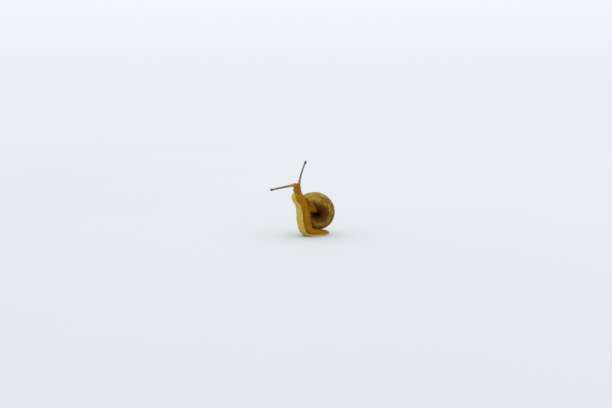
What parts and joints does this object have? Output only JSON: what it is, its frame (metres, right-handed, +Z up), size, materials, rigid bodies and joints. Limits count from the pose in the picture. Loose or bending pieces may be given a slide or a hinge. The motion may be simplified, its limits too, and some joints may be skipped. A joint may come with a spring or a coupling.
{
  "type": "garden snail",
  "caption": "Half-grown garden snail at life size, crawling with its front reared and both long feelers out: coiled shell, foot, neck, head, feelers and eyes.",
  "frame": {"origin": "on the ground, under the middle of the part of the sole that lies on it", "axes": "the snail heads along -Y, its left side is +X, +Z is up"},
  "size_m": [0.0134, 0.0255, 0.0296],
  "materials": {
    "shell": "thin golden-brown horn with fine growth lines, satin gloss",
    "skin": "moist grainy skin, amber on the head and neck, pale yellow on the sole, grey-brown on the feelers",
    "eye": "dark brown, wet gloss"
  },
  "bodies": {
    "root": {"shell": "shell", "mantle_collar": "skin", "trunk": "skin", "foot_back": "skin", "foot_middle": "skin", "foot_front": "skin", "tail": "skin", "neck": "skin", "head": "skin", "left_feeler_base": "skin", "left_feeler_middle": "skin", "left_feeler_tip": "skin", "left_eye": "eye", "left_lower_feeler": "skin", "right_feeler_base": "skin", "right_feeler_middle": "skin", "right_feeler_tip": "skin", "right_eye": "eye", "right_lower_feeler": "skin"}
  },
  "joints": []
}
